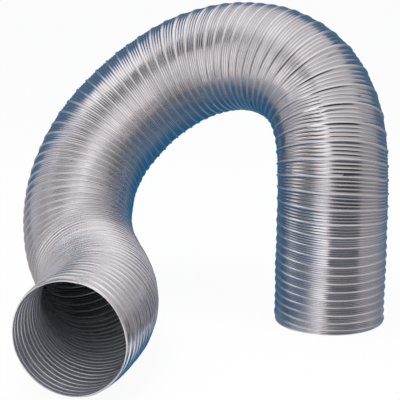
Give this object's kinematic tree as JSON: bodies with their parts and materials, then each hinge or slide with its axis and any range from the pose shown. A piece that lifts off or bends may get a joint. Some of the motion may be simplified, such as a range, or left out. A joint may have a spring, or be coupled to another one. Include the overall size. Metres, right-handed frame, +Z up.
{
  "type": "flexible air duct",
  "caption": "Flexible corrugated foil air duct, pulled into a standing swan-neck arch; its turns bend, sway and stretch, and stay where they are put.",
  "frame": {"origin": "middle of the footprint, on the surface that the duct stands on", "axes": "+X to the right from leg to leg, +Y away from the open mouth's side, +Z up"},
  "size_m": [0.3536, 0.3954, 0.2984],
  "materials": {
    "foil_web": "satin, finely corrugated",
    "lock_seam": "bright folded seam",
    "cut_end": "bright cut edge"
  },
  "bodies": {
    "foot": {"foot_end": "cut_end", "foil_web_01": "foil_web"},
    "ring_01": {"seam_ring_01": "lock_seam", "foil_web_02": "foil_web"},
    "ring_02": {"seam_ring_02": "lock_seam", "foil_web_03": "foil_web"},
    "ring_03": {"seam_ring_03": "lock_seam", "foil_web_04": "foil_web"},
    "ring_04": {"seam_ring_04": "lock_seam", "foil_web_05": "foil_web"},
    "ring_05": {"seam_ring_05": "lock_seam", "foil_web_06": "foil_web"},
    "ring_06": {"seam_ring_06": "lock_seam", "foil_web_07": "foil_web"},
    "ring_07": {"seam_ring_07": "lock_seam", "foil_web_08": "foil_web"},
    "ring_08": {"seam_ring_08": "lock_seam", "foil_web_09": "foil_web"},
    "ring_09": {"seam_ring_09": "lock_seam", "foil_web_10": "foil_web"},
    "ring_10": {"seam_ring_10": "lock_seam", "foil_web_11": "foil_web"},
    "ring_11": {"seam_ring_11": "lock_seam", "foil_web_12": "foil_web"},
    "ring_12": {"seam_ring_12": "lock_seam", "foil_web_13": "foil_web"},
    "ring_13": {"seam_ring_13": "lock_seam", "foil_web_14": "foil_web"},
    "ring_14": {"seam_ring_14": "lock_seam", "foil_web_15": "foil_web"},
    "ring_15": {"seam_ring_15": "lock_seam", "foil_web_16": "foil_web"},
    "ring_16": {"seam_ring_16": "lock_seam", "foil_web_17": "foil_web"},
    "ring_17": {"seam_ring_17": "lock_seam", "foil_web_18": "foil_web"},
    "mouth": {"mouth_end": "cut_end"}
  },
  "joints": [
    {"name": "sway_01", "type": "hinge", "parent": "foot", "child": "ring_01", "pos_m": [0.12203, 0.03558, 0.03176], "axis": [-0.1669, 0.9843, 0.0581], "range_deg": [-26, 26], "deforming": ["foil_web_01"]},
    {"name": "bend_02", "type": "hinge", "parent": "ring_01", "child": "ring_02", "pos_m": [0.12247, 0.03276, 0.07771], "axis": [-0.9999, -0.0037, 0.0106], "range_deg": [-30, 22], "deforming": ["foil_web_02"]},
    {"name": "stretch_03", "type": "slide", "parent": "ring_02", "child": "ring_03", "axis": [0.0054, 0.1112, 0.9938], "range_m": [-0.0155, 0], "deforming": ["foil_web_03"]},
    {"name": "bend_04", "type": "hinge", "parent": "ring_03", "child": "ring_04", "pos_m": [0.12205, 0.04575, 0.16787], "axis": [-0.8527, -0.4954, 0.1657], "range_deg": [-18.2, 13], "deforming": ["foil_web_04"]},
    {"name": "bend_05", "type": "hinge", "parent": "ring_04", "child": "ring_05", "pos_m": [0.11321, 0.06864, 0.20648], "axis": [-0.1256, -0.855, 0.5032], "range_deg": [-26.9, 4], "deforming": ["foil_web_05"]},
    {"name": "bend_06", "type": "hinge", "parent": "ring_05", "child": "ring_06", "pos_m": [0.08574, 0.09048, 0.23558], "axis": [-0.4363, -0.8837, 0.1696], "range_deg": [-29.7, 0], "deforming": ["foil_web_06"]},
    {"name": "bend_07", "type": "hinge", "parent": "ring_06", "child": "ring_07", "pos_m": [0.04714, 0.11315, 0.24453], "axis": [-0.4976, -0.8534, 0.1555], "range_deg": [-20.3, 8], "deforming": ["foil_web_07"]},
    {"name": "stretch_08", "type": "slide", "parent": "ring_07", "child": "ring_08", "axis": [-0.8837, 0.3535, -0.3068], "range_m": [-0.008, 0.016], "deforming": ["foil_web_08"]},
    {"name": "bend_09", "type": "hinge", "parent": "ring_08", "child": "ring_09", "pos_m": [-0.03328, 0.1435, 0.21719], "axis": [-0.4768, -0.5659, 0.6726], "range_deg": [-19.1, 7], "deforming": ["foil_web_09"]},
    {"name": "sway_10", "type": "hinge", "parent": "ring_09", "child": "ring_10", "pos_m": [-0.06965, 0.14101, 0.18935], "axis": [-0.4876, 0.8084, 0.3297], "range_deg": [-20, 20], "deforming": ["foil_web_10"]},
    {"name": "bend_11", "type": "hinge", "parent": "ring_10", "child": "ring_11", "pos_m": [-0.09944, 0.12771, 0.15713], "axis": [-0.4764, -0.5644, 0.6741], "range_deg": [-21, 5], "deforming": ["foil_web_11"]},
    {"name": "bend_12", "type": "hinge", "parent": "ring_11", "child": "ring_12", "pos_m": [-0.11764, 0.10276, 0.1233], "axis": [-0.4353, -0.5925, 0.6778], "range_deg": [-19, 7], "deforming": ["foil_web_12"]},
    {"name": "stretch_13", "type": "slide", "parent": "ring_12", "child": "ring_13", "axis": [0.0247, -0.7447, -0.6669], "range_m": [-0.009, 0.033], "deforming": ["foil_web_13"]},
    {"name": "bend_14", "type": "hinge", "parent": "ring_13", "child": "ring_14", "pos_m": [-0.11464, 0.03453, 0.06386], "axis": [-0.9243, -0.3729, 0.0815], "range_deg": [-27.5, 0], "deforming": ["foil_web_14"]},
    {"name": "bend_15", "type": "hinge", "parent": "ring_14", "child": "ring_15", "pos_m": [-0.10184, -0.00833, 0.05409], "axis": [-0.7749, -0.1258, -0.6195], "range_deg": [-12.1, 14], "deforming": ["foil_web_15"]},
    {"name": "sway_16", "type": "hinge", "parent": "ring_15", "child": "ring_16", "pos_m": [-0.09452, -0.05371, 0.05277], "axis": [0.9667, 0.096, -0.2371], "range_deg": [-25, 25], "deforming": ["foil_web_16"]},
    {"name": "stretch_17", "type": "slide", "parent": "ring_16", "child": "ring_17", "axis": [-0.0759, -0.9971, 0.0059], "range_m": [-0.014, 0.033], "deforming": ["foil_web_17"]},
    {"name": "bend_18", "type": "hinge", "parent": "ring_17", "child": "mouth", "pos_m": [-0.10127, -0.14508, 0.05315], "axis": [0.0472, -0.0095, -0.9988], "range_deg": [-33, 20], "deforming": ["foil_web_18"]}
  ]
}
